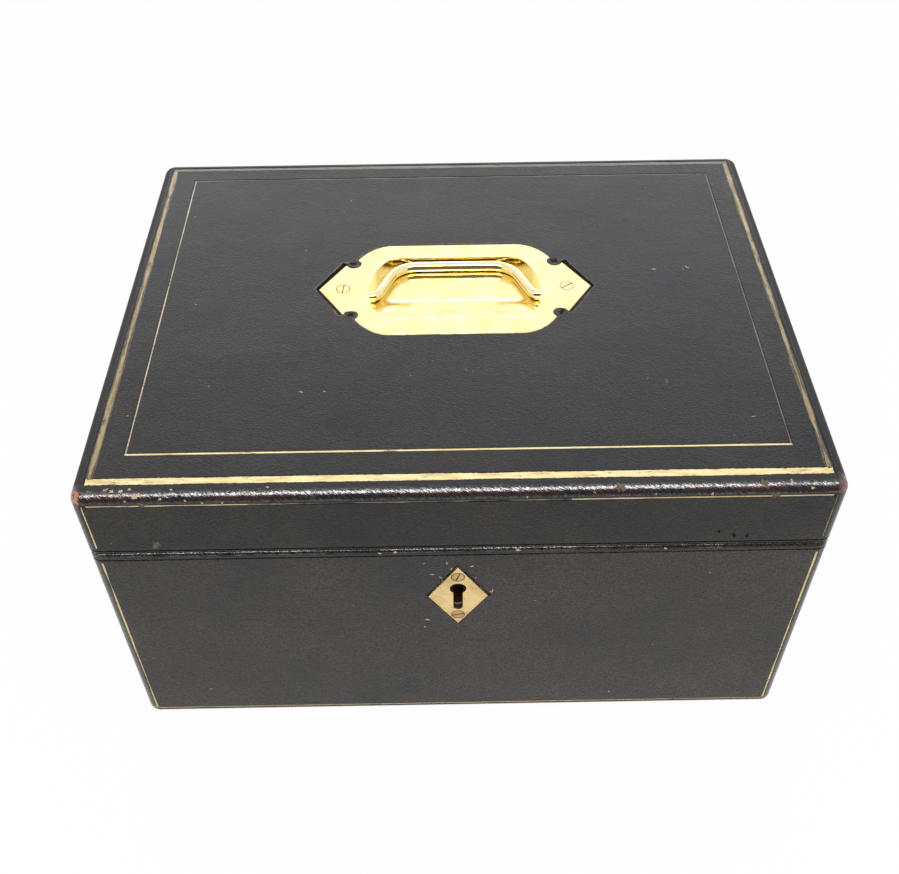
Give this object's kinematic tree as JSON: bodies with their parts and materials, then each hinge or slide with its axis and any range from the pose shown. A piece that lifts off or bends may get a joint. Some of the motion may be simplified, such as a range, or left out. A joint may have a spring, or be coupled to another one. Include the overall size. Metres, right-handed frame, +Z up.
{
  "type": "jewellery box",
  "caption": "Leather-covered rectangular jewellery box with a lift-up lid, flush brass bail handle, lozenge keyhole plate, link lock and lift-out velvet tray.",
  "frame": {"origin": "centre of the underside: middle of the overall bounding box, on the surface the box stands on", "axes": "+X to the right seen from the front, +Y to the back where the hinges are, +Z up"},
  "size_m": [0.28, 0.2192, 0.1475],
  "materials": {
    "black_leather": "fine-grained glazed goatskin, worn brown at the edges, with gilt tooled lines",
    "baize": "dark blue baize, matt",
    "polished_brass": "polished, lightly scratched",
    "aged_brass": "satin, dull with age",
    "lock_brass": "satin",
    "steel_pin": "plain drawn wire",
    "silk": "ribbed silk, soft sheen",
    "velvet": "short-pile velvet",
    "carcass_wood": "plain planed softwood"
  },
  "bodies": {
    "base": {"base_back_board": "carcass_wood", "base_bottom_board": "carcass_wood", "base_bottom_cover": "baize", "base_floor_pad": "velvet", "base_front_board": "carcass_wood", "base_leather": "black_leather", "base_left_board": "carcass_wood", "base_right_board": "carcass_wood", "escutcheon": "aged_brass", "escutcheon_screws": "aged_brass", "hinge_base_screws": "lock_brass", "hinge_left_base_leaf": "lock_brass", "hinge_left_pin": "steel_pin", "hinge_right_base_leaf": "lock_brass", "hinge_right_pin": "steel_pin", "lock_cap": "lock_brass", "lock_cap_screws": "lock_brass", "lock_case": "lock_brass", "lower_lining_back": "velvet", "lower_lining_front": "velvet", "lower_lining_left": "velvet", "lower_lining_right": "velvet", "upper_lining": "velvet"},
    "lid": {"handle_plate": "polished_brass", "handle_screws": "polished_brass", "hinge_left_lid_leaf": "lock_brass", "hinge_lid_screws": "lock_brass", "hinge_right_lid_leaf": "lock_brass", "lid_back_rail": "carcass_wood", "lid_front_rail": "carcass_wood", "lid_leather": "black_leather", "lid_left_rail": "carcass_wood", "lid_lining": "velvet", "lid_pad": "silk", "lid_right_rail": "carcass_wood", "lid_top_board": "carcass_wood", "link_plate": "lock_brass", "link_plate_screws": "lock_brass"},
    "bail": {"handle_bail": "polished_brass"},
    "bolt": {"lock_bolt": "lock_brass"},
    "tray": {"ring_cushion": "velvet", "tray_back_wall": "velvet", "tray_bottom": "velvet", "tray_divider_left": "velvet", "tray_divider_long": "velvet", "tray_divider_right": "velvet", "tray_front_wall": "velvet", "tray_left_wall": "velvet", "tray_lift_tabs": "silk", "tray_pad_left": "velvet", "tray_pad_middle": "velvet", "tray_pad_right": "velvet", "tray_right_wall": "velvet"}
  },
  "joints": [
    {"name": "lid_hinge", "type": "hinge", "parent": "base", "child": "lid", "pos_m": [0, 0.1074, 0.1153], "axis": [-1, 0, 0], "range_deg": [0, 100]},
    {"name": "handle_swing", "type": "hinge", "parent": "lid", "child": "bail", "pos_m": [0.0003, 0.0047, 0.1449], "axis": [1, 0, 0], "range_deg": [0, 90]},
    {"name": "lock_bolt_slide", "type": "slide", "parent": "base", "child": "bolt", "axis": [1, 0, 0], "range_m": [0, 0.0045]},
    {"name": "tray_lift", "type": "slide", "parent": "base", "child": "tray", "axis": [0, 0, 1], "range_m": [0, 0.0386]}
  ],
  "couplings": [
    {"joint": "tray_lift", "follows": "lid_hinge", "m_per_rad": 0.0221}
  ]
}
